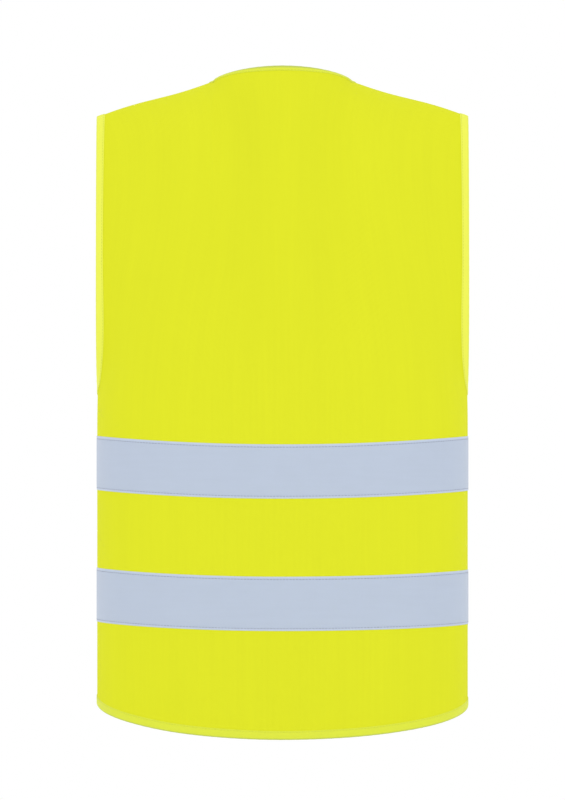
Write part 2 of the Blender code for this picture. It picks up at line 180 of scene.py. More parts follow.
def collar(x, fade=0.0, soft=0.0):
    """The collar's round shape, which runs out softly beside the neck where soft is more than 0."""
    rest = 1 - (x / NECK_HALF) ** 2
    return ((rest + np.sqrt(rest**2 + soft**2)) / 2) ** (0.5 + fade)


def top_height(x, fade=0.0, soft=0.0):
    share = np.clip((x - NECK_HALF) / (SHOULDER_HALF - NECK_HALF), 0, 1)
    shoulder = mix(NECK_SIDE_Z, SHOULDER_TIP_Z, share) - SHOULDER_WAVE * np.sin(2 * math.pi * share)
    return shoulder + NECK_BACK_RISE * collar(x, fade + NECK_RISE_FADE, soft)


def row_height(x, level):
    share = np.minimum(1, x / HALF_WIDTH)
    hem_zone = BAND_TOPS["lower"] - BAND_WIDTH
    near_hem = smooth((hem_zone - level) / (hem_zone - HEM_LEVEL))
    return level + ROW_SIDE_RISE * share**2 + near_hem * HEM_SIDE_RISE * (1 - np.sqrt(1 - share**2))


def sections(side, across, level):
    """The waist's section and the one halfway up the armhole, at that share of the way to the side."""
    depth = BACK_DEPTH if side == BACK else FRONT_DEPTH
    handle = CORNER_FULLNESS
    waist = [(0, depth), (handle * HALF_WIDTH, depth), (HALF_WIDTH, handle * depth), (HALF_WIDTH, 0)]
    edge_x, edge_y, turn = BACK_EDGE if side == BACK else FRONT_EDGE
    edge_x = mix(SHOULDER_HALF, edge_x, smooth(level / ARMHOLE_MIDDLE_LEVEL))
    before = (edge_x - EDGE_HANDLE * math.cos(turn), edge_y + EDGE_HANDLE * math.sin(turn))
    upper = [(0, depth), (MIDDLE_HANDLE, depth), before, (edge_x, edge_y)]
    return bezier(waist, across), bezier(upper, across)


def worn_point(side, across, level):
    across, level = matched(across, level)
    (waist_x, waist_y), (upper_x, upper_y) = sections(side, across, level)
    roundness = 1 + smooth(upper_x / 0.090)
    drop = np.clip(level / ARMHOLE_LEVEL, 0, 1) ** roundness
    climb = np.clip((1 - drop) * ARMHOLE_LEVEL / (ARMHOLE_LEVEL - ARMHOLE_MIDDLE_LEVEL), 0, 1)
    middle = smooth((level - TORSO_BLEND_LEVEL) / (ARMHOLE_MIDDLE_LEVEL - TORSO_BLEND_LEVEL))
    share = mix(middle, (1 - (1 - climb) ** 2) ** ARMHOLE_BOTTOM_POWER, across**6)
    x, y = mix(waist_x, upper_x, share), mix(waist_y, upper_y, share)
    z = mix(top_height(x), row_height(x, ARMHOLE_LEVEL), drop)
    fade = COLLAR_FADE * np.clip(top_height(x) - z, 0, None) / CURVE_OVER_DEPTH
    soft = np.minimum(COLLAR_SOFT, 0.3 * fade)
    under_top = np.clip((top_height(x, fade, soft) - z) / CURVE_OVER_DEPTH, 0, 1)
    over = (1 - (1 - under_top) ** CURVE_OVER_POWER) ** (1 / roundness)
    top_y = NECK_BACK_DEPTH * collar(x, fade, soft) if side == BACK else 0.0
    above = level > ARMHOLE_LEVEL
    z = np.where(above, z, row_height(x, level))
    y = np.where(above, SEAM_Y * (1 - over) + side * mix(top_y, y, over), side * y)
    return joined(x, y, z)


def drape(side, point):
    """How far the cloth stands off the worn surface: soft folds that fade at the shoulders and the sides."""
    x, z = point[..., 0], point[..., 2]
    below = smooth((FOLDS_FROM - z) / 0.16)
    inside = smooth((HALF_WIDTH - np.abs(x)) / 0.05)
    free = smooth((HEM_FREE_FROM - z) / 0.12)
    if side == BACK:
        folds = 0.6 * np.sin(54 * x + 1.7 * np.sin(7 * z) + 0.6) + 0.4 * np.sin(31 * x - 11 * z)
        hem = np.sin(78 * x + 0.9) * 0.7
    else:
        middle = smooth((np.abs(x) - 0.006) / 0.05)
        drag = np.sin(46 * np.abs(x) + 9 * (z + 0.22) + np.sign(x) * 0.5)
        folds = (1.5 * drag + 0.8 * np.sin(83 * x + 13 * z)) * middle
        hem = np.sin(66 * x + 2.1) * 0.9 * middle
    ease = SIDE_EASE * smooth((np.abs(x) - 0.12) / 0.05) * smooth((-0.28 - z) / 0.04)
    return FOLD_HEIGHT * inside * (below * folds + free * hem) + ease


def hang(point):
    """How far the cloth lifts. The wearer's right hangs higher at the shoulder and lower at the hem."""
    x, z = point[..., 0] / HALF_WIDTH, point[..., 2]
    shoulder, low = smooth((z + 0.22) / 0.18), smooth((-0.30 - z) / 0.22)
    uneven = np.abs(x) * x * (HEM_LEAN * low - SHOULDER_LEAN * shoulder)
    sag = SIDE_SAG * x * x * low + HEM_SAG * smooth((-0.56 - z) / 0.05)
    return uneven + SHOULDER_LIFT * x * x * shoulder - sag


def stencil(evaluate, signed, level):
    """Differences of a surface along its rows and down its columns."""
    low, high = np.maximum(level - STENCIL, HEM_LEVEL - 0.02), np.minimum(level + STENCIL, -1e-6)
    near, far = np.clip(signed - STENCIL, -1, 1), np.clip(signed + STENCIL, -1, 1)
    return evaluate(far, level) - evaluate(near, level), evaluate(signed, high) - evaluate(signed, low)


def surface(side, signed, level):
    """The middle of the draped cloth. signed runs from -1 at the right side seam to 1 at the left one."""
    signed, level = matched(signed, level)

    def worn(at, row):
        point = worn_point(side, np.abs(at), row)
        point[..., 0] *= np.where(at < 0, -1, 1)
        return point

    along, up = stencil(worn, signed, level)
    outward = unit(np.cross(up, along)) * side
    point = worn(signed, level)
    draped = point + outward * drape(side, point)[..., None]
    draped[..., 2] += hang(point)
    return draped


def frames(side, signed, level):
    """Points of the draped cloth and its outward normals there."""
    signed, level = matched(signed, level)
    along, up = stencil(lambda at, row: surface(side, at, row), signed, level)
    return surface(side, signed, level), unit(np.cross(up, along)) * side


def v_edge_x(z):
    fall = np.clip((NECK_SIDE_Z - z) / V_DEPTH, 0, 1)
    return mix(NECK_HALF, FRONT_EDGE_X, fall**V_BEND)


def across_where(side, level, line):
    level = np.asarray(level, float)
    low, high = np.zeros_like(level), np.ones_like(level)
    for _ in range(30):
        middle = (low + high) / 2
        point = worn_point(side, middle, level)
        before = point[..., 0] < line(point[..., 2])
        low, high = np.where(before, middle, low), np.where(before, high, middle)
    return high


def edge_across(level, margin=0.0):
    return across_where(FRONT, level, lambda z: v_edge_x(z) + margin)


def place(side, x, z):
    """(signed, level) of the point of the cloth that is seen at x and z."""
    x, z = matched(x, z)
    low, high = np.full(x.shape, HEM_LEVEL), np.full(x.shape, -1e-4)
    for _ in range(26):
        middle = (low + high) / 2
        across = across_where(side, middle, lambda _: np.abs(x))
        before = worn_point(side, across, middle)[..., 2] < z
        low, high = np.where(before, middle, low), np.where(before, high, middle)
    return across * np.where(x < 0, -1, 1), high


GRAIN_ROW = 215
UV_COLUMNS = 200
UV_ROWS = 300


def run_length(points, axis=0):
    """Lengths along lines of points, from 0 at each line's start."""
    steps = np.diff(points, axis=axis, prepend=np.take(points, [0], axis))
    return np.cumsum(np.linalg.norm(steps, axis=-1), axis=axis)


def flat_lengths(side):
    """Lengths along the worn surface: sideways from its middle, and upright from a row between the bands."""
    across, level = np.linspace(0, 1, UV_COLUMNS + 1), np.linspace(0, HEM_LEVEL, UV_ROWS + 1)
    point = worn_point(side, across[None, :], level[:, None])
    down = run_length(point, axis=0)
    down -= down[GRAIN_ROW] + point[GRAIN_ROW, :, 2]
    return joined(run_length(point, axis=1), down)


FLAT_LENGTHS = {side: flat_lengths(side) for side in (BACK, FRONT)}


def cloth_uv(side, signed, level):
    """Where points of the cloth lie when it is flat, so that a knit keeps its gauge."""
    signed, level = matched(signed, level)
    column, row = np.abs(signed) * UV_COLUMNS, np.clip(level / HEM_LEVEL, 0, 1) * UV_ROWS
    c, r = np.minimum(column.astype(int), UV_COLUMNS - 1), np.minimum(row.astype(int), UV_ROWS - 1)
    lengths, to_next = FLAT_LENGTHS[side], (column - c)[..., None]
    above, below = (mix(lengths[k, c], lengths[k, c + 1], to_next) for k in (r, r + 1))
    found = mix(above, below, (row - r)[..., None])
    found[..., 0] *= np.where(signed < 0, -1, 1)
    return found


# Meshes


def mesh_piece(name, points, faces, uv, look, crease=40):
    data = bpy.data.meshes.new(name)
    data.from_pydata(points.reshape(-1, 3).tolist(), [], faces)
    layer = data.uv_layers.new(name="cloth")
    corner = np.zeros(len(data.loops), np.int32)
    data.loops.foreach_get("vertex_index", corner)
    layer.data.foreach_set("uv", uv.reshape(-1, 2)[corner].astype(np.float32).ravel())
    mesh = bmesh.new()
    mesh.from_mesh(data)
    bmesh.ops.recalc_face_normals(mesh, faces=mesh.faces[:])
    mesh.to_mesh(data)
    mesh.free()
    data.shade_smooth()
    data.set_sharp_from_angle(angle=math.radians(crease))
    data.materials.append(look)
    piece = bpy.data.objects.new(name, data)
    bpy.context.scene.collection.objects.link(piece)
    return piece


def quads(index, looped=False):
    """Faces over a grid of vertex numbers, closed from its last row to its first if it is looped."""
    if looped:
        index = np.concatenate([index, index[:1]])
    a, b, c, d = index[:-1, :-1], index[:-1, 1:], index[1:, 1:], index[1:, :-1]
    return joined(a, b, c, d).reshape(-1, 4)


def sheet_piece(name, outer, inner, uv, look):
    """A closed sheet between two grids of points."""
    rows, columns = outer.shape[:2]
    top = np.arange(rows * columns).reshape(rows, columns)
    rim = np.concatenate([top[0], top[1:, -1], top[-1, -2::-1], top[-2:0:-1, 0]])
    under = rows * columns
    following = np.roll(rim, -1)
    wall = joined(rim, rim + under, following + under, following)
    faces = np.concatenate([quads(top), quads(top[:, ::-1] + under), wall])
    return mesh_piece(name, np.stack([outer, inner]), faces.tolist(), np.stack([uv, uv]), look)


# Ring points where a binding's line of painted shade is centred: its fold, or for the neck its crest
FOLD_POINT = 9
NECK_CREST_POINT = 6


def close_lengths(data, last, around, total):
    """Where a looped tape's end meets its start, its last faces run on to its whole length."""
    corner = np.zeros(len(data.loops), np.int32)
    data.loops.foreach_get("vertex_index", corner)
    uv = np.zeros(2 * len(corner), np.float32)
    data.uv_layers[0].data.foreach_get("uv", uv)
    uv, corner = uv.reshape(-1, 4, 2), corner.reshape(-1, 4)
    closing = (corner >= last - around).any(axis=1, keepdims=True) & (corner < around)
    uv[..., 0] = np.where(closing, total, uv[..., 0])
    data.uv_layers[0].data.foreach_set("uv", uv.ravel())


def ring_piece(name, rings, look, looped=False, shaded_at=FOLD_POINT):
    """A closed body through rings. Its UV is the length along it, and round it from the line where its
    painted shade is centred.
    """
    count, around = rings.shape[:2]
    index = np.arange(count * around).reshape(count, around)
    index = np.concatenate([index, index[:, :1]], axis=1)
    faces = quads(index, looped).tolist()
    if not looped:
        for ring in index[[0, -1], :-1].tolist():
            faces += [(ring[i], ring[i + 1], ring[-2 - i], ring[-1 - i]) for i in range(around // 2 - 1)]
    along, girth = run_length(rings.mean(axis=1)), run_length(rings[0])
    uv = joined(*np.broadcast_arrays(along[:, None], girth[None, :] - girth[shaded_at]))
    piece = mesh_piece(name, rings, faces, uv, look, crease=50)
    if looped:
        close_lengths(piece.data, count * around, around, along[-1] + along[1])
    return piece


def resampled(points, normals, pitch, looped=False, offset=0.5):
    """Stations along a line at that pitch: points, normals and directions."""
    if looped:
        points, normals = (np.concatenate([part, part[:1]]) for part in (points, normals))
    length = run_length(points)
    count = max(2, round(length[-1] / pitch))
    at = np.linspace(0, length[-1], count)
    if looped or offset:
        at = (np.arange(count) + offset) * length[-1] / count

    def found(part, where):
        return joined(*(np.interp(where, length, part[:, k]) for k in range(3)))

    ahead, behind = found(points, at + 0.0006), found(points, at - 0.0006)
    return found(points, at), unit(found(normals, at)), unit(ahead - behind)


def round_thread(sideways, upward, sides):
    """Directions round a thread, from its sideways direction towards its upward one."""
    turn = np.linspace(0, 2 * math.pi, sides, endpoint=False)[:, None]
    return sideways[:, None] * np.cos(turn) + upward[:, None] * np.sin(turn)


# The kinds of stitch: pitch, half length, half thickness and lift
BINDING_STITCH = (0.0029, 0.00108, 0.00018, 0.00010)
TAPE_STITCH = (0.0030, 0.00128, 0.00021, 0.00012)
TAB_STITCH = (0.0026, 0.00098, 0.00017, 0.00010)
LABEL_STITCH = (0.0023, 0.00090, 0.00015, 0.00022)


def stitches(points, normals, kind, looped=False, height=0.0):
    """Short threads along a line, each dipping into the cloth at both ends: (stitches, rings, sides, 3)."""
    pitch, half_length, radius, lift = kind
    at, up, along = resampled(points, normals, pitch, looped)
    t = np.linspace(-1, 1, 5)
    centre = (at + up * height)[:, None] + along[:, None] * (half_length * t)[None, :, None]
    centre = centre + up[:, None] * (lift * (1 - 1.6 * t**4))[None, :, None]
    size = radius * np.sqrt(1 - 0.85 * t**4)
    around = round_thread(unit(np.cross(up, along)), up, 6)
    return centre[:, :, None] + around[:, None] * size[None, :, None, None]


def thread_piece(name, runs, look, slot):
    """Separate threads in one piece. Each run holds threads with the same number of rings and sides."""
    points, faces, start = [], [], 0
    for run in runs:
        threads, rings, sides = run.shape[:3]
        size = rings * sides
        index = np.arange(size).reshape(rings, sides)
        body = quads(np.concatenate([index, index[:, :1]], axis=1)).tolist()
        for first in range(start, start + threads * size, size):
            faces += [[first + corner for corner in face] for face in body]
            last = first + size - 1
            faces += [[first + k for k in range(sides)], [last - k for k in range(sides)]]
        points.append(run.reshape(-1, 3))
        start += threads * size
    points = np.concatenate(points)
    return stand_for(mesh_piece(name, points, faces, points[:, [0, 2]], look, crease=60), slot)


def tube(path, normals, radius):
    """One thread along a path, as a run of its own."""
    along = unit(np.gradient(path, axis=0))
    sideways = unit(np.cross(normals, along))
    size = np.full(len(path), radius)
    size[[0, -1]] *= 0.4
    around = round_thread(sideways, np.cross(along, sideways), 6)
    return (path[:, None] + around * size[:, None, None])[None]


# Materials


def shader(name, colour, roughness, specular=0.2, sheen=0.0, metallic=0.0):
    look = bpy.data.materials.new(name)
    look.use_nodes = True
    nodes = look.node_tree
    body = nodes.nodes["Principled BSDF"]
    body.inputs["Base Color"].default_value = (*colour, 1)
    body.inputs["Roughness"].default_value = roughness
    body.inputs["Specular IOR Level"].default_value = specular
    body.inputs["Sheen Weight"].default_value = sheen
    body.inputs["Metallic"].default_value = metallic
    return look, nodes, body


def math_node(nodes, operation, *values, clamp=False):
    made = nodes.nodes.new("ShaderNodeMath")
    made.operation, made.use_clamp = operation, clamp
    for socket, value in zip(made.inputs, values):
        if isinstance(value, (int, float)):
            socket.default_value = value
        else:
            nodes.links.new(value, socket)
    return made.outputs[0]


def cloth_axes(nodes):
    where = nodes.nodes.new("ShaderNodeUVMap")
    where.uv_map = "cloth"
    parts = nodes.nodes.new("ShaderNodeSeparateXYZ")
    nodes.links.new(where.outputs[0], parts.inputs[0])
    return where.outputs[0], parts.outputs[0], parts.outputs[1]


def noise(nodes, where, scale, stretch=(1, 1, 1), detail=2.0):
    mapping = nodes.nodes.new("ShaderNodeMapping")
    mapping.inputs["Scale"].default_value = stretch
    nodes.links.new(where, mapping.inputs["Vector"])
    made = nodes.nodes.new("ShaderNodeTexNoise")
    made.inputs["Scale"].default_value = scale
    made.inputs["Detail"].default_value = detail
    nodes.links.new(mapping.outputs[0], made.inputs["Vector"])
    return made.outputs[0]


def tint(nodes, body, colour, shares, low=None, glow=0.0):
    """The base colour between two tones, by (pattern, weight) shares. It may also glow a little."""
    total = 0.5
    for pattern, weight in shares:
        total = math_node(nodes, "MULTIPLY_ADD", math_node(nodes, "SUBTRACT", pattern, 0.5), weight, total)
    low = low or [channel * 0.80 for channel in colour]
    high = [min(1, max(0, 2 * channel - dark)) for channel, dark in zip(colour, low)]
    ramp = nodes.nodes.new("ShaderNodeMix")
    ramp.data_type = "RGBA"
    ramp.inputs[6].default_value = (*low, 1)
    ramp.inputs[7].default_value = (*high, 1)
    nodes.links.new(total, ramp.inputs[0])
    nodes.links.new(ramp.outputs[2], body.inputs["Base Color"])
    if glow:
        nodes.links.new(ramp.outputs[2], body.inputs["Emission Color"])
        body.inputs["Emission Strength"].default_value = glow


def bump(nodes, body, height, distance, strength):
    made = nodes.nodes.new("ShaderNodeBump")
    made.inputs["Strength"].default_value = strength
    made.inputs["Distance"].default_value = distance
    nodes.links.new(height, made.inputs["Height"])
    nodes.links.new(made.outputs[0], body.inputs["Normal"])


def wave(nodes, length, pitch):
    angle = math_node(nodes, "MULTIPLY", length, 2 * math.pi / pitch)
    return math_node(nodes, "MULTIPLY_ADD", math_node(nodes, "SINE", angle), 0.5, 0.5)


GLOW = 0.06
WALE = 0.0011
COURSE = 0.0009


def knit_look(name, colour):
    """Warp knit: upright wales of small slanting loops, with faint upright streaks in its colour."""
    look, nodes, body = shader(name, colour, 0.85, specular=0.08, sheen=0.02)
    body.inputs["Sheen Tint"].default_value = (*colour, 1)
    where, u, v = cloth_axes(nodes)
    share = math_node(nodes, "FRACT", math_node(nodes, "DIVIDE", u, WALE))
    slant = math_node(nodes, "ABSOLUTE", math_node(nodes, "SUBTRACT", share, 0.5))
    rib = wave(nodes, u, WALE)
    loop = wave(nodes, math_node(nodes, "MULTIPLY_ADD", slant, 1.3 * COURSE, v), COURSE)
    streak = noise(nodes, where, 1.0, (330, 9, 1))
    broad = noise(nodes, where, 1.0, (75, 2.5, 1))
    cloud = noise(nodes, where, 1.0, (14, 10, 1))
    grain = noise(nodes, where, 1.0, (2400, 1900, 1), detail=1.0)
    shares = [(rib, 0.10), (loop, 0.08), (streak, 0.08), (broad, 0.08), (cloud, 0.06), (grain, 0.16)]
    tint(nodes, body, colour, shares, glow=GLOW)
    bump(nodes, body, math_node(nodes, "MULTIPLY_ADD", loop, 0.5, rib), 0.00012, 0.7)
    return look


FOLD_SHADE = (0.50, 0.58, 0.095)
SHADE_REACH = 0.0021


def ribbon_look(name, colour, sheen, rim, worn):
    """Woven binding tape: fine ribs across it, and a line of painted shade along it in a darker tone."""
    look, nodes, body = shader(name, colour, 0.62, specular=0.18, sheen=sheen)
    where, u, v = cloth_axes(nodes)
    rib, weft = wave(nodes, u, 0.0007), wave(nodes, v, 0.0005)
    grain = noise(nodes, where, 900, detail=1.0)
    cloud = noise(nodes, where, 60)
    # Painted shade: the tone passed as worn is deepest on the shade line and fades out over SHADE_REACH, with
    # rim setting its depth
    from_line = math_node(nodes, "DIVIDE", math_node(nodes, "ABSOLUTE", v), SHADE_REACH, clamp=True)
    fold = math_node(nodes, "MULTIPLY", from_line, from_line)
    fold = math_node(nodes, "MULTIPLY_ADD", fold, rim, 0.5 - rim)
    shares = [(rib, 0.07), (weft, 0.05), (grain, 0.06), (cloud, 0.07), (fold, 1.0)]
    tint(nodes, body, colour, shares, low=worn, glow=GLOW)
    bump(nodes, body, math_node(nodes, "ADD", rib, weft), 0.00006, 0.7)
    return look


def bead_look(name, colour):
    """Retroreflective tape: a skin of fine glass beads on a woven backing that shows through faintly."""
    look, nodes, body = shader(name, colour, 0.46, specular=0.35, metallic=0.15)
    where, u, v = cloth_axes(nodes)
    beads = noise(nodes, where, 3200, detail=2.0)
    cloud = noise(nodes, where, 45, detail=3.0)
    weave = math_node(nodes, "MULTIPLY", wave(nodes, u, 0.00055), wave(nodes, v, 0.00055))
    scuff = noise(nodes, where, 1.0, (22, 260, 1), detail=3.0)
    from_edge = nodes.nodes.new("ShaderNodeAttribute")
    from_edge.attribute_name = "from_edge"
    margin = math_node(nodes, "DIVIDE", from_edge.outputs["Fac"], 0.0032, clamp=True)
    margin = math_node(nodes, "SUBTRACT", 1.0, math_node(nodes, "MULTIPLY", margin, 0.5))
    shares = [(beads, 0.16), (cloud, 0.11), (weave, 0.08), (scuff, 0.10), (margin, 0.5)]
    tint(nodes, body, colour, shares)
    rough = math_node(nodes, "MULTIPLY_ADD", cloud, 0.12, 0.40)
    nodes.links.new(rough, body.inputs["Roughness"])
    bump(nodes, body, math_node(nodes, "MULTIPLY_ADD", beads, 0.8, weave), 0.00005, 0.6)
    return look


def pile_look(name, colour):
    """The plush of hook and loop tape."""
    look, nodes, body = shader(name, colour, 0.95, specular=0.1, sheen=0.2)
    where, _, _ = cloth_axes(nodes)
    fuzz = noise(nodes, where, 1500, detail=4.0)
    clump = noise(nodes, where, 260)
    tint(nodes, body, colour, [(fuzz, 0.5), (clump, 0.3)])
    bump(nodes, body, fuzz, 0.0004, 0.9)
    return look


def thread_look(name, colour):
    look, nodes, body = shader(name, colour, 0.5, specular=0.3, sheen=0.1)
    _, u, v = cloth_axes(nodes)
    twist = wave(nodes, math_node(nodes, "ADD", u, v), 0.00045)
    tint(nodes, body, colour, [(twist, 0.35)])
    bump(nodes, body, twist, 0.00005, 0.6)
    return look


def satin_look(name, colour):
    look, nodes, body = shader(name, colour, 0.38, specular=0.45, sheen=0.1)
    where, _, v = cloth_axes(nodes)
    weft = wave(nodes, v, 0.00028)
    cloud = noise(nodes, where, 120)
    tint(nodes, body, colour, [(weft, 0.06), (cloud, 0.05)])
    bump(nodes, body, weft, 0.00003, 0.5)
    return look


CLOTH_LOOK = knit_look("fluorescent_knit", (0.714, 0.750, 0.020))
# Binding tape with a line of painted shade along its fold, in the FOLD_SHADE tone
BINDING_LOOK = ribbon_look("edge_binding", (0.705, 0.775, 0.044), 0.08, 0.5, FOLD_SHADE)
# Painted light: the same binding tape painted lighter for the armholes, with a paler line of painted shade at
# its fold
LIT_ARMHOLE_LOOK = ribbon_look("armhole_binding", (0.82, 0.86, 0.088), 0.04, 0.35, (0.70, 0.75, 0.10))
TAPE_LOOK = bead_look("retroreflective_tape", (0.500, 0.570, 0.700))
GREY_THREAD = thread_look("grey_thread", (0.30, 0.33, 0.43))
YELLOW_THREAD = thread_look("yellow_thread", (0.64, 0.71, 0.05))
LOOP_LOOK = pile_look("loop_pile", (0.70, 0.75, 0.02))
HOOK_LOOK = pile_look("hook_tape", (0.66, 0.72, 0.03))
LABEL_LOOK = satin_look("label_satin", (0.80, 0.80, 0.78))


# Baking pieces in place and hiding the parts they stand for


def blend_front(piece):
    """Bakes the piece's placement into its mesh."""
    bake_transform(piece)


def stand_for(piece, slot, *nodes):
    if nodes:
        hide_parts(*nodes)
    return piece


# The panels


SIDE_SEAM_DEPTH = 0.0010
SHOULDER_SEAM_DEPTH = 0.0015


def seam_groove(signed, level):
    """How far the cloth is drawn in at the side seams and at the shoulder seams."""
    side = smooth(1 - (1 - np.abs(signed)) / 0.0085) * smooth((ARMHOLE_LEVEL - level) / 0.02)
    shoulder = smooth(1 + level / 0.0045) * smooth((np.abs(signed) - NECK_ACROSS[-1]) / 0.03)
    return np.maximum(SIDE_SEAM_DEPTH * side, SHOULDER_SEAM_DEPTH * shoulder)


def side_columns(start, count=56):
    """Shares of the way from a start to the side seam, closer together at the seam."""
    near_seam = 1 - np.array([0.021, 0.014, 0.008, 0.003, 0.0])
    return mix(start, 1.0, np.concatenate([np.linspace(0, 0.972, count), near_seam]))


ROWS = np.array(sorted([*np.linspace(0, HEM_LEVEL, 172), -0.0006, -0.0014, -0.0024], reverse=True))
neck_angles = np.radians(np.linspace(0, 90, 22))
NECK_ACROSS = across_where(BACK, np.zeros(22), lambda z: NECK_HALF * np.sin(neck_angles))
half_columns = np.concatenate([NECK_ACROSS[:-1], side_columns(NECK_ACROSS[-1], 40)])
half_columns[0] = 0
BACK_COLUMNS = np.concatenate([-half_columns[:0:-1], half_columns])
GRIDS = {"back": (BACK, BACK_COLUMNS[None, :] + 0 * ROWS[:, None])}
for hand_name, hand_sign in HANDS.items():
    spread = [side_columns(start) for start in edge_across(ROWS)]
    GRIDS[hand_name] = (FRONT, hand_sign * np.stack(spread))
CLOTH_FRAMES = {name: frames(side, columns, ROWS[:, None]) for name, (side, columns) in GRIDS.items()}


def make_panel(name, grid, *nodes):
    side, columns = GRIDS[grid]
    point, normal = CLOTH_FRAMES[grid]
    point = point - normal * seam_groove(columns, ROWS[:, None])[..., None]
    uv = cloth_uv(side, columns, ROWS[:, None])
    panel = sheet_piece(name, point + normal * HALF_CLOTH, point - normal * HALF_CLOTH, uv, CLOTH_LOOK)
    return stand_for(panel, "fluorescent_cloth", *nodes)


def cloth_finder():
    """The middle of the cloth as triangles with smooth normals, for placing what is sewn near an edge."""
    points, normals, triangles, start = [], [], [], 0
    for point, normal in CLOTH_FRAMES.values():
        corners = quads(np.arange(point[..., 0].size).reshape(point.shape[:2]) + start)
        triangles += [corners[:, :3], corners[:, [0, 2, 3]]]
        points.append(point.reshape(-1, 3))
        normals.append(normal.reshape(-1, 3))
        start += len(points[-1])
    points, normals, triangles = (np.concatenate(parts) for parts in (points, normals, triangles))
    return BVHTree.FromPolygons(points.tolist(), triangles.tolist()), points, normals, triangles


TREE, TREE_POINTS, TREE_NORMALS, TREE_TRIANGLES = cloth_finder()


def on_cloth(points):
    """The nearest points of the cloth, and its normals there."""
    found = [TREE.find_nearest(point) for point in points.tolist()]
    at = np.array([tuple(hit[0]) for hit in found])
    corner = TREE_TRIANGLES[[hit[2] for hit in found]]
    a, b, c = (TREE_POINTS[corner[:, k]] for k in range(3))
    ab, ac, ap = b - a, c - a, at - a
    bb, bc, cc = ((p * q).sum(axis=1) for p, q in ((ab, ab), (ab, ac), (ac, ac)))
    pb, pc = ((ap * side).sum(axis=1) for side in (ab, ac))
    scale = np.maximum(bb * cc - bc**2, 1e-18)
    to_b, to_c = (cc * pb - bc * pc) / scale, (bb * pc - bc * pb) / scale
    shares = np.clip(np.stack([1 - to_b - to_c, to_b, to_c]), 0, 1)[..., None]
    return at, unit(sum(share * TREE_NORMALS[corner[:, k]] for k, share in enumerate(shares)))


# Reflective bands


def make_band(name, side, columns, top, *nodes):
    """A tape sewn on by two lines of stitches, which it puckers along."""
    from_top, from_bottom = (
        np.array([0, 0.0005, 0.0013, inset, inset + 0.0008, 0.0042, 0.009, 0.017]) for inset in STITCH_INSETS
    )
    down = np.concatenate([from_top, [BAND_WIDTH / 2], BAND_WIDTH - from_bottom[::-1]])
    height = np.array([-0.00022, 0, 0.00004, -0.00016, 0.00004, 0.0001, TAPE_ROUNDING, TAPE_ROUNDING])
    height = TAPE_OVER + np.concatenate([height, [TAPE_ROUNDING], height[::-1]])
    level = (top - down)[:, None]
    point, normal = frames(side, columns[None, :], level)
    uv = cloth_uv(side, columns[None, :], level)
    along, from_edge = uv[..., 0], np.minimum(down, BAND_WIDTH - down)[:, None]
    between = smooth((down - 0.003) / 0.01) * smooth((BAND_WIDTH - 0.003 - down) / 0.01)
    pucker = 0.00006 * np.sin(along * 2 * math.pi / 0.011 + 2 * np.sin(along * 90))
    lifted = height[:, None] + pucker * (1 - 0.6 * between)[:, None]
    outer, inner = point + normal * lifted[..., None], point + normal * TAPE_UNDER
    band = sheet_piece(name, outer, inner, uv, TAPE_LOOK)
    layer = band.data.attributes.new("from_edge", "FLOAT", "POINT")
    values = np.broadcast_to(from_edge, (2, *along.shape)).astype(np.float32)
    layer.data.foreach_set("value", values.ravel())
    return stand_for(band, "reflective_tape", *nodes)


def band_stitches(side, columns, top):
    fine = np.linspace(columns[0], columns[-1], 400)
    rows = (top - STITCH_INSETS[0], top - BAND_WIDTH + STITCH_INSETS[1])
    return [stitches(*frames(side, fine, row), TAPE_STITCH, height=TAPE_OVER - 0.0001) for row in rows]


# Bindings. A binding's girth goes from the first share to the second over the third, a length

THIN = (0.75, 0.75, 1)
PUFFY = (0.85, 0.85, 1)
TUCKED_AT_NECK = (0.68, 1.0, 0.050)
TUCKED_AT_SIDE = (0.68, 0.75, 0.012)
BINDING_STEP = 0.0028
PROBE = 0.004
BINDING_SHARES = (1, 0.93, 0.84, 0.74, 0.5, 0.25, 0)
BINDING_HEIGHTS = (0.00080, 0.00108, 0.00098, 0.00118, 0.00136, 0.00134, 0.00122)


def binding(edge, normals, width, looped, girth):
    """A tape folded over an edge: its rings, and its two lines of stitches. Its width may change."""
    at, up, along = resampled(edge, normals, BINDING_STEP, looped, offset=0)
    width = np.interp(np.linspace(0, 1, len(at)), np.linspace(0, 1, np.size(width)), np.ravel(width))
    inward = unit(np.cross(up, along))
    goals = at[len(at) // 2] + np.outer((PROBE, -PROBE), inward[len(at) // 2])
    off_cloth = np.linalg.norm(on_cloth(goals)[0] - goals, axis=1)
    if off_cloth[0] > off_cloth[1]:
        inward = -inward
    length = run_length(at)
    ripple = 0.00007 * np.sin(length * 2 * math.pi / 0.0085 + 1.5 * np.sin(length * 60))
    girth = mix(girth[0], girth[1], smooth(length / girth[2]))
    faces = []
    for share, height in zip(BINDING_SHARES, BINDING_HEIGHTS):
        point, normal = on_cloth(at + inward * (share * width)[:, None]) if share else (at, up)
        faces.append((point, normal, ((height + ripple * (share < 0.8)) * girth)[:, None]))
    outer = [point + normal * height for point, normal, height in faces]
    under = [point - normal * height for point, normal, height in faces]
    radius = ((BINDING_HEIGHTS[-1] + ripple) * girth)[:, None]
    angles = np.radians([62, 34, 0, -34, -62])
    fold = [at + radius * (up * math.sin(angle) - inward * math.cos(angle)) for angle in angles]
    point, normal, _ = faces[0]
    inside = [
        point - normal * BINDING_UNDER,
        at - up * BINDING_UNDER - inward * 0.0001,
        at - inward * 0.00045,
        at + up * BINDING_UNDER - inward * 0.0001,
        point + normal * BINDING_UNDER,
    ]
    rings = np.stack(outer + fold + under[::-1] + inside, axis=1)
    point, normal, height = faces[2]
    return rings, [(point + sign * normal * height, sign * normal) for sign in (1, -1)]


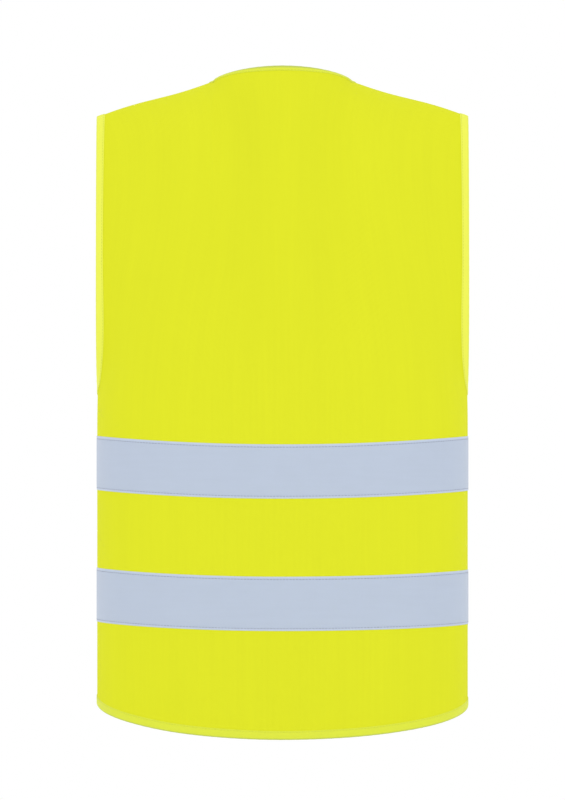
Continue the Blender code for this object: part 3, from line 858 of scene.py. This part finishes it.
def taped(name, line, kind, node, look=BINDING_LOOK, girth=THIN, looped=False, shaded_at=FOLD_POINT):
    """The binding along a line, which stands for a node, and its stitches."""
    rings, seams = binding(*line, BINDING_WIDTHS[kind], looped, girth)
    tape = stand_for(ring_piece(name, rings, look, looped, shaded_at), "binding_tape", node)
    return tape, [stitches(*seam, BINDING_STITCH, looped) for seam in seams]


def stitch_pieces(name, threads, tape_threads):
    return [
        thread_piece(f"{name}_binding_stitches", threads, YELLOW_THREAD, "binding_tape"),
        thread_piece(f"{name}_tape_stitches", tape_threads, GREY_THREAD, "reflective_tape"),
    ]


def armhole_edge(hand):
    rows = np.linspace(0, ARMHOLE_LEVEL, 300)
    back, front = (frames(side, hand * 1.0, rows) for side in (BACK, FRONT))
    return [np.concatenate([behind, before[-2::-1]]) for behind, before in zip(back, front)]


LAP_LEVEL = 0.0016
HEM_LAP = 0.012


def lapped(back, across, rows):
    """A line along the back that runs a little way onto both fronts."""
    right, left = (frames(FRONT, hand * across, rows) for hand in (-1, 1))
    return [np.concatenate([before[::-1], middle, after]) for before, middle, after in zip(right, back, left)]


def neck_edge():
    """The back of the neck, and a little of the front edges beyond the shoulder seams."""
    angles = np.radians(np.linspace(-90, 90, 181))
    across = across_where(BACK, np.zeros(181), lambda _: NECK_HALF * np.abs(np.sin(angles)))
    back = frames(BACK, across * np.sign(angles), 0.0)
    rows = np.linspace(-0.0002, -LAP_LEVEL, 8)
    return lapped(back, edge_across(rows), rows)


def front_edge(hand):
    rows = np.concatenate([np.linspace(0, -0.2, 240), np.linspace(-0.2, HEM_LEVEL, 160)[1:]])
    return frames(FRONT, hand * edge_across(rows), rows)


def back_hem_edge():
    """The hem of the back, and a little of the front hems beyond the side seams."""
    back = frames(BACK, np.linspace(-1, 1, 240), HEM_LEVEL)
    return lapped(back, np.linspace(0.9995, 1 - HEM_LAP, 8), HEM_LEVEL)


def front_hem_edge(hand, edge_width):
    """The hem of a front, up to its edge's binding."""
    start = edge_across(HEM_LEVEL, edge_width + 0.0004)
    return frames(FRONT, hand * np.linspace(1, start, 160), HEM_LEVEL)


# Assembly of the cloth


def build_vest():
    pieces = [make_panel("back_cloth", "back", "back_panel")]
    tape_threads = []
    half = side_columns(0.0)
    columns = np.concatenate([-half[:0:-1], half])
    for which, top in BAND_TOPS.items():
        pieces.append(make_band(f"back_{which}_tape", BACK, columns, top, f"back_{which}_band"))
        tape_threads += band_stitches(BACK, columns, top)
    # The neck's line of painted shade lies on its crest
    neck, threads = taped("back_neck_tape", neck_edge(), "neck", "neck_binding", shaded_at=NECK_CREST_POINT)
    hem, more = taped("back_hem_tape", back_hem_edge(), "hem", "hem_binding")
    threads += more
    pieces += [neck, hem]
    look = {"look": LIT_ARMHOLE_LOOK, "girth": PUFFY, "looped": True}
    for name, hand in HANDS.items():
        line, node = armhole_edge(hand), f"{name}_armhole_binding"
        armhole, more = taped(f"{name}_armhole_tape", line, "armhole", node, **look)
        threads += more
        pieces.append(armhole)
    pieces += stitch_pieces("back", threads, tape_threads)
    return [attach(piece, "vest") for piece in pieces]


def build_front(name):
    hand, full = HANDS[name], BINDING_WIDTHS["edge"][-1]
    pieces = [make_panel(f"{name}_front_cloth", name, f"{name}_front_side", f"{name}_front_flap")]
    tape_threads = []
    for which, top in BAND_TOPS.items():
        middle = top - BAND_WIDTH / 2
        columns = hand * side_columns(edge_across(middle, full / 2))
        nodes = (f"{name}_side_{which}_band", f"{name}_flap_{which}_band")
        pieces.append(make_band(f"{name}_front_{which}_tape", FRONT, columns, top, *nodes))
        tape_threads += band_stitches(FRONT, hand * np.array([edge_across(middle, full), 1.0]), top)
    line, node = front_edge(hand), f"{name}_front_edge_binding"
    edge, threads = taped(f"{name}_front_edge_tape", line, "edge", node, girth=TUCKED_AT_NECK)
    line, node = front_hem_edge(hand, full), f"{name}_flap_hem_binding"
    hem, more = taped(f"{name}_front_hem_tape", line, "hem", node, girth=TUCKED_AT_SIDE)
    pieces += [edge, hem, *stitch_pieces(f"{name}_front", threads + more, tape_threads)]
    for piece in pieces:
        blend_front(piece)
    return pieces


# Overlocked seams inside


def seam_strip(name, middle, normals, node):
    """Two trimmed edges lying inside the seam."""
    at, up, along = resampled(middle, normals, 0.004, offset=0)
    sideways = unit(np.cross(up, along))
    shares = np.linspace(-0.5, 0.5, 7)
    outer, inner = [], []
    for share in shares:
        point, normal = on_cloth(at + sideways * share * SEAM_WIDTH)
        thick = 0.00110 + 0.0011 * (1 - (2 * share) ** 4)
        outer.append(point - normal * (0.00135 if abs(share) < 0.1 else 0.00055))
        inner.append(point - normal * thick)
    uv = joined(*np.broadcast_arrays(shares[None, :] * SEAM_WIDTH, run_length(at)[:, None]))
    strip = sheet_piece(name, np.stack(outer, axis=1), np.stack(inner, axis=1), uv, CLOTH_LOOK)
    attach(stand_for(strip, "fluorescent_cloth", node), "vest")


def overlock(name, middle, normals):
    """The thread that binds a seam's edges, running to and fro over them, and the two along them."""
    at, up, along = resampled(middle, normals, OVERLOCK_STEP, offset=0)
    sideways = unit(np.cross(up, along)) * SEAM_WIDTH
    swing = np.resize(OVERLOCK_SWING, len(at))
    point, normal = on_cloth(at + sideways * swing[:, None])
    lift = 0.0023 - 0.0009 * (np.abs(swing) > 0.3)
    threads = [tube(point - normal * lift[:, None], normal, 0.00017)]
    for share in (-0.42, 0.42):
        point, normal = on_cloth(at[::4] + sideways[::4] * share)
        threads.append(tube(point - normal * 0.0018, normal, 0.00016))
    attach(thread_piece(f"{name}_overlock", threads, YELLOW_THREAD, "fluorescent_cloth"), "vest")


SEAM_WIDTH = 0.008
SEAM_CLEAR = 0.012
OVERLOCK_STEP = 0.00075
OVERLOCK_SWING = (0.44, 0.40, 0.0, -0.40, -0.44, -0.2, 0.15)


def build_seams():
    for name, hand in HANDS.items():
        rows = np.linspace(ARMHOLE_LEVEL - SEAM_CLEAR, HEM_LEVEL + SEAM_CLEAR, 120)
        side, _ = frames(BACK, hand * 1.0, rows)
        x = np.linspace(NECK_HALF + SEAM_CLEAR, SHOULDER_HALF - SEAM_CLEAR, 60)
        shoulder = joined(hand * x, np.full(60, SEAM_Y), top_height(x))
        for seam, line, outward in (("side", side, [hand, 0.0, 0.0]), ("shoulder", shoulder, UP)):
            normals = np.broadcast_to(outward, line.shape)
            edge = f"{name}_{seam}_seam_edge"
            seam_strip(edge, line, normals, f"{name}_{seam}_seam")
            overlock(edge, line, normals)


# The two tabs and their hook and loop patches

TAB_CORNER = 0.006
PATCH_CORNER = 0.003
TAB_THICKNESS = 0.0009
TAB_RISE_X = (-0.019, -0.0115, 0.004, 0.0125)
TAB_RISE = (0.00055, 0.0006, 0.00215, 0.0023, 0.00285, 0.0029)
TAB_STITCH_INSET = 0.002
SEWN_BOX_END = -0.0145
EDGE_ROUNDING = 0.0016
HOOK_TAPE = (0.00245, 0.0028)
HOOKS_FROM = 0.00247
HOOK_MARGIN = 0.0014
HOOK_COLUMNS = 21
HOOK_ROWS = 22
# How far a hook leans and how far it stands up, along its path
HOOK_BEND = np.array([(0, 0), (0, 0.0004), (0.00012, 0.00062), (0.00034, 0.0006), (0.0004, 0.00042)])
HOOK_RADII = np.array([0.00013, 0.00011, 0.0001, 0.00009, 0.00005])
LOOP_TAPE = (0.00046, 0.00115)
LOOPS_FROM = 0.00110
LOOP_MARGIN = 0.001
LOOP_COUNT = 1500
LOOP_SIZES = (0.0004, 0.0007)
LOOP_RADIUS = 0.00006
UP = np.array([0.0, 0.0, 1.0])


def patch_grid(low, high, bottom, top, radius, columns, rows):
    """x and z over a rectangle with rounded corners."""
    x = np.linspace(low, high, columns)
    near_end = np.clip(radius - np.minimum(x - low, high - x), 0, radius)
    cut = radius - np.sqrt(radius**2 - near_end**2)
    share = np.linspace(0, 1, rows)[:, None]
    return x[None, :] + 0 * share, mix(top - cut, bottom + cut, share)


def tab_rise(x, span):
    """Height of the tab's underside: sewn flat, up over the two bindings, then over the two patches."""
    return np.interp(x, [span[0], *TAB_RISE_X, span[1]], TAB_RISE)


def raised(x, z, height):
    signed, level = place(FRONT, x, z)
    point, normal = frames(FRONT, signed, level)
    return point + normal * np.asarray(height)[..., None], normal


def within(box, margin=0):
    """The bounds in x and z of what lies that far inside a box."""
    (x0, _, z0), (x1, _, z1) = box
    return x0 + margin, x1 - margin, z0 + margin, z1 - margin


def pad(name, box, low, high, look):
    """The tape of a hook or loop patch."""
    x0, x1, z0, z1 = within(box)
    x, z = patch_grid(x0, x1, z0, z1, PATCH_CORNER, 25, 25)
    inside = np.minimum(np.minimum(x - x0, x1 - x), np.minimum(z - z0, z1 - z))
    crown = mix(low, high, 0.55 + 0.45 * smooth(inside / EDGE_ROUNDING))
    outer, under = (raised(x, z, height)[0] for height in (crown, low))
    tape = sheet_piece(f"{name}_tape", outer, under, joined(x, z), look)
    return stand_for(tape, "hook_and_loop", f"{name}_patch")


def outline_stitches(box, inset, height):
    """Stitches round a rectangle, just inside its edge."""
    x0, x1, z0, z1 = within(box, inset)
    corners = [(x0, z0), (x1, z0), (x1, z1), (x0, z1), (x0, z0)]
    return [stitch_run(start, end, 16, height) for start, end in zip(corners, corners[1:])]


def stitch_run(start, end, count, height):
    """Stitches from one (x, z) to another, at a height that may depend on x."""
    x, z = np.linspace(start, end, count).T
    height = height(x) if callable(height) else height
    return stitches(*raised(x, z, height), TAB_STITCH)


def hooks(box):
    """Small bent pins standing on the hook tape, which point back at the loops."""
    x0, x1, z0, z1 = within(box, HOOK_MARGIN)
    x, z = np.meshgrid(np.linspace(x0, x1, HOOK_COLUMNS), np.linspace(z0, z1, HOOK_ROWS))
    x = x + 0.00012 * RANDOM.standard_normal(x.shape)
    point, outward = raised(x.ravel(), z.ravel(), HOOKS_FROM)
    inward = -outward
    lean = unit(np.cross(inward, UP)) * np.where(np.arange(len(inward)) % 2, 1, -1)[:, None]
    centre = point[:, None] + lean[:, None] * HOOK_BEND[:, :1] + inward[:, None] * HOOK_BEND[:, 1:]
    around = round_thread(np.cross(lean, inward), 0.7 * (lean + inward), 4)
    return centre[:, :, None] + around[:, None] * HOOK_RADII[:, None, None]


def loops(box):
    """Fine thread loops standing in a tangle on the loop tape."""
    x0, x1, z0, z1 = within(box, LOOP_MARGIN)
    x, z = (RANDOM.uniform(*ends, LOOP_COUNT) for ends in ((x0, x1), (z0, z1)))
    point, normal = raised(x, z, LOOPS_FROM)
    turn = RANDOM.uniform(0, 2 * math.pi, LOOP_COUNT)[:, None]
    flat = unit(np.cross(normal, UP))
    lean = flat * np.cos(turn) + np.cross(normal, flat) * np.sin(turn)
    size = RANDOM.uniform(*LOOP_SIZES, LOOP_COUNT)[:, None]
    arc = np.linspace(0, math.pi, 6)
    centre = point[:, None] + lean[:, None] * (size * np.cos(arc))[..., None]
    centre = centre + normal[:, None] * (0.45 * size * np.sin(arc))[..., None]
    around = round_thread(np.cross(normal, lean), normal, 4)
    return centre[:, :, None] + around[:, None] * LOOP_RADIUS


def tab_cloth(which, box):
    x0, x1, z0, z1 = within(box)
    x, z = patch_grid(x0 - TAB_CORNER, x1, z0, z1, TAB_CORNER, 64, 19)
    keep = x[0] >= x0
    x, z = x[:, keep], z[:, keep]
    rise = tab_rise(x, (x0, x1))
    edge = np.minimum(np.minimum(x1 - x, x - x0), np.minimum(z - z0, z1 - z))
    thick = mix(0.0005, TAB_THICKNESS, smooth(edge / EDGE_ROUNDING))
    thick = thick + 0.00012 * np.exp(-(((edge - 0.0036) / 0.001) ** 2))
    outer, under = (raised(x, z, height)[0] for height in (rise + thick, rise))
    tab = sheet_piece(f"{which}_closing_tab", outer, under, joined(x, z), CLOTH_LOOK)
    return stand_for(tab, "fluorescent_cloth", f"{which}_tab", f"{which}_tab_base")


def tab_stitches(which, box, hook):
    """Stitches round the tab and its hook patch, and a crossed box where the tab is sewn on."""
    span = (box[0][0], box[1][0])

    def top_of(at):
        return tab_rise(at, span) + TAB_THICKNESS

    left, right, bottom, top = within(box, TAB_STITCH_INSET)
    runs = [stitch_run((left, at), (right, at), 40, top_of) for at in (bottom, top)]
    runs += [stitch_run((at, bottom), (at, top), 20, top_of) for at in (right, left, SEWN_BOX_END)]
    for start, end in ((bottom, top), (top, bottom)):
        runs.append(stitch_run((left, start), (SEWN_BOX_END, end), 24, top_of))
    runs += outline_stitches(hook, 0.0012, top_of)
    return thread_piece(f"{which}_tab_stitches", runs, YELLOW_THREAD, "fluorescent_cloth")


def hook_patch(which, box):
    base = pad(f"{which}_hook", box, *HOOK_TAPE, HOOK_LOOK)
    pins = thread_piece(f"{which}_hooks", [hooks(box)], HOOK_LOOK, "hook_and_loop")
    return [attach(piece, f"{which}_tab") for piece in (base, pins)]


def loop_patch(which, box):
    base = pad(f"{which}_loop", box, *LOOP_TAPE, LOOP_LOOK)
    pile = thread_piece(f"{which}_loops", [loops(box)], LOOP_LOOK, "hook_and_loop")
    runs = outline_stitches(box, LOOP_MARGIN, 0.00112)
    sewn = thread_piece(f"{which}_loop_stitches", runs, YELLOW_THREAD, "hook_and_loop")
    for piece in (base, pile, sewn):
        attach(piece, "left_front")


def build_tab(which):
    x0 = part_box(f"{which}_tab_base")[0].x
    (_, _, low), (x1, _, high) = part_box(f"{which}_tab")
    box, hook = ((x0, 0, low), (x1, 0, high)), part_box(f"{which}_hook_patch")
    tab = tab_cloth(which, box)
    sewn = tab_stitches(which, box, hook)
    for piece in (tab, sewn):
        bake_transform(piece)
    on_tab = [sewn, *hook_patch(which, hook)]
    loop_patch(which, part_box(f"{which}_loop_patch"))


# Labels

LABEL_THICKNESS = 0.00035
SIZE_LABEL_HALF = 0.0118


def label_piece(name, point, uv, body, node):
    normal = unit(np.cross(np.gradient(point, axis=0), np.gradient(point, axis=1))) * LABEL_THICKNESS / 2
    label = sheet_piece(name, point + normal, point - normal, uv, LABEL_LOOK)
    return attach(stand_for(label, "label_satin", node), body)


def build_care_label():
    low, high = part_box("care_label")
    height, width = high.z - low.z, high.y - low.y
    down, out = np.meshgrid(np.linspace(0, 1, 30), np.linspace(0, 1, 16), indexing="ij")
    x = (low.x + high.x) / 2 - 0.0016 * smooth(out) * (0.4 + 0.6 * down)
    x = x - 0.0008 * out * np.sin(3 * down + 0.6)
    point, uv = joined(x, high.y - out * width, high.z - down * height), joined(out * width, down * height)
    care = label_piece("care_label_blank", point, uv, "care_label", "care_label")


def build_size_label():
    low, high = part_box("size_label")
    share = np.linspace(0, 1, 26)[:, None]
    x = np.linspace(-SIZE_LABEL_HALF, SIZE_LABEL_HALF, 17)[None, :] + 0 * share
    z = mix(high.z - 0.0002, low.z + 0.001, share) + 0 * x
    point, normal = frames(BACK, *place(BACK, x, z))
    point = point - normal * (0.0011 + 0.0022 * smooth(share) ** 2)[..., None]
    size = label_piece("size_label_blank", point, joined(x, z), "vest", "size_label")
    seam = stitches(point[3], -normal[3], LABEL_STITCH)
    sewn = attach(thread_piece("size_label_stitches", [seam], YELLOW_THREAD, "label_satin"), "vest")


# The set

FLOOR_RADIUS = 1.15
FLOOR_DROP = 0.125
LAMP_SIZE = 1.4
LAMP_DISTANCE = 2.4
# Each lamp's turn about the vest, in degrees, and its power
LAMPS = {"key": (-28, 2.6), "fill": (32, 1.5)}


def build_set(vest_low):
    """A pale floor under the hanging vest, a white studio and two soft lamps."""
    place_at = (0, 0, vest_low - FLOOR_DROP)
    bpy.ops.mesh.primitive_circle_add(vertices=96, radius=FLOOR_RADIUS, fill_type="NGON", location=place_at)
    floor = bpy.context.object
    floor.name = "floor"
    look, _, _ = shader("pale_floor", (0.96, 0.96, 0.96), 0.9, specular=0.05)
    floor.data.materials.append(look)
    scene = bpy.context.scene
    scene.world = bpy.data.worlds.new("studio")
    scene.world.use_nodes = True
    sky = scene.world.node_tree.nodes["Background"]
    sky.inputs["Color"].default_value = (1, 1, 1, 1)
    sky.inputs["Strength"].default_value = 1.0
    for name, (turn, power) in LAMPS.items():
        lamp = bpy.data.lights.new(name, "AREA")
        lamp.shape, lamp.size, lamp.energy = "SQUARE", LAMP_SIZE, power
        light = bpy.data.objects.new(name, lamp)
        angle = math.radians(turn)
        light.location = (LAMP_DISTANCE * math.sin(angle), LAMP_DISTANCE * math.cos(angle), 0.6)
        light.rotation_euler = (math.radians(70), 0, math.pi - angle)
        scene.collection.objects.link(light)
    scene.view_settings.view_transform = "Standard"
    scene.view_settings.look = "None"


VIEW_HEIGHT = 0.7448
VIEW_DISTANCE = 8.0
VIEW_PLANE_Y = 0.03
VIEW_CENTRE_Z = -0.2984


def build_camera():
    data = bpy.data.cameras.new("camera")
    data.sensor_width = 36
    data.lens = data.sensor_width * VIEW_DISTANCE / VIEW_HEIGHT
    data.clip_end = 60
    camera = bpy.data.objects.new("camera", data)
    camera.location = (0, VIEW_PLANE_Y + VIEW_DISTANCE, VIEW_CENTRE_Z)
    camera.rotation_euler = (math.pi / 2, 0, math.pi)
    bpy.context.scene.collection.objects.link(camera)
    bpy.context.scene.camera = camera


def declare(grid, panel, *others):
    """Works out the flat lengths over a grid's cloth and keeps none of them; the pieces passed in are not
    used.
    """
    side, columns = GRIDS[grid]
    lengths = cloth_uv(side, columns, ROWS[:, None])


build_camera()
build_set(CAD_BOX[0][2])
declare("back", *build_vest())
for hand_name in HANDS:
    declare(hand_name, *build_front(hand_name))
build_seams()
for tab_name in ("upper", "lower"):
    build_tab(tab_name)
build_care_label()
build_size_label()
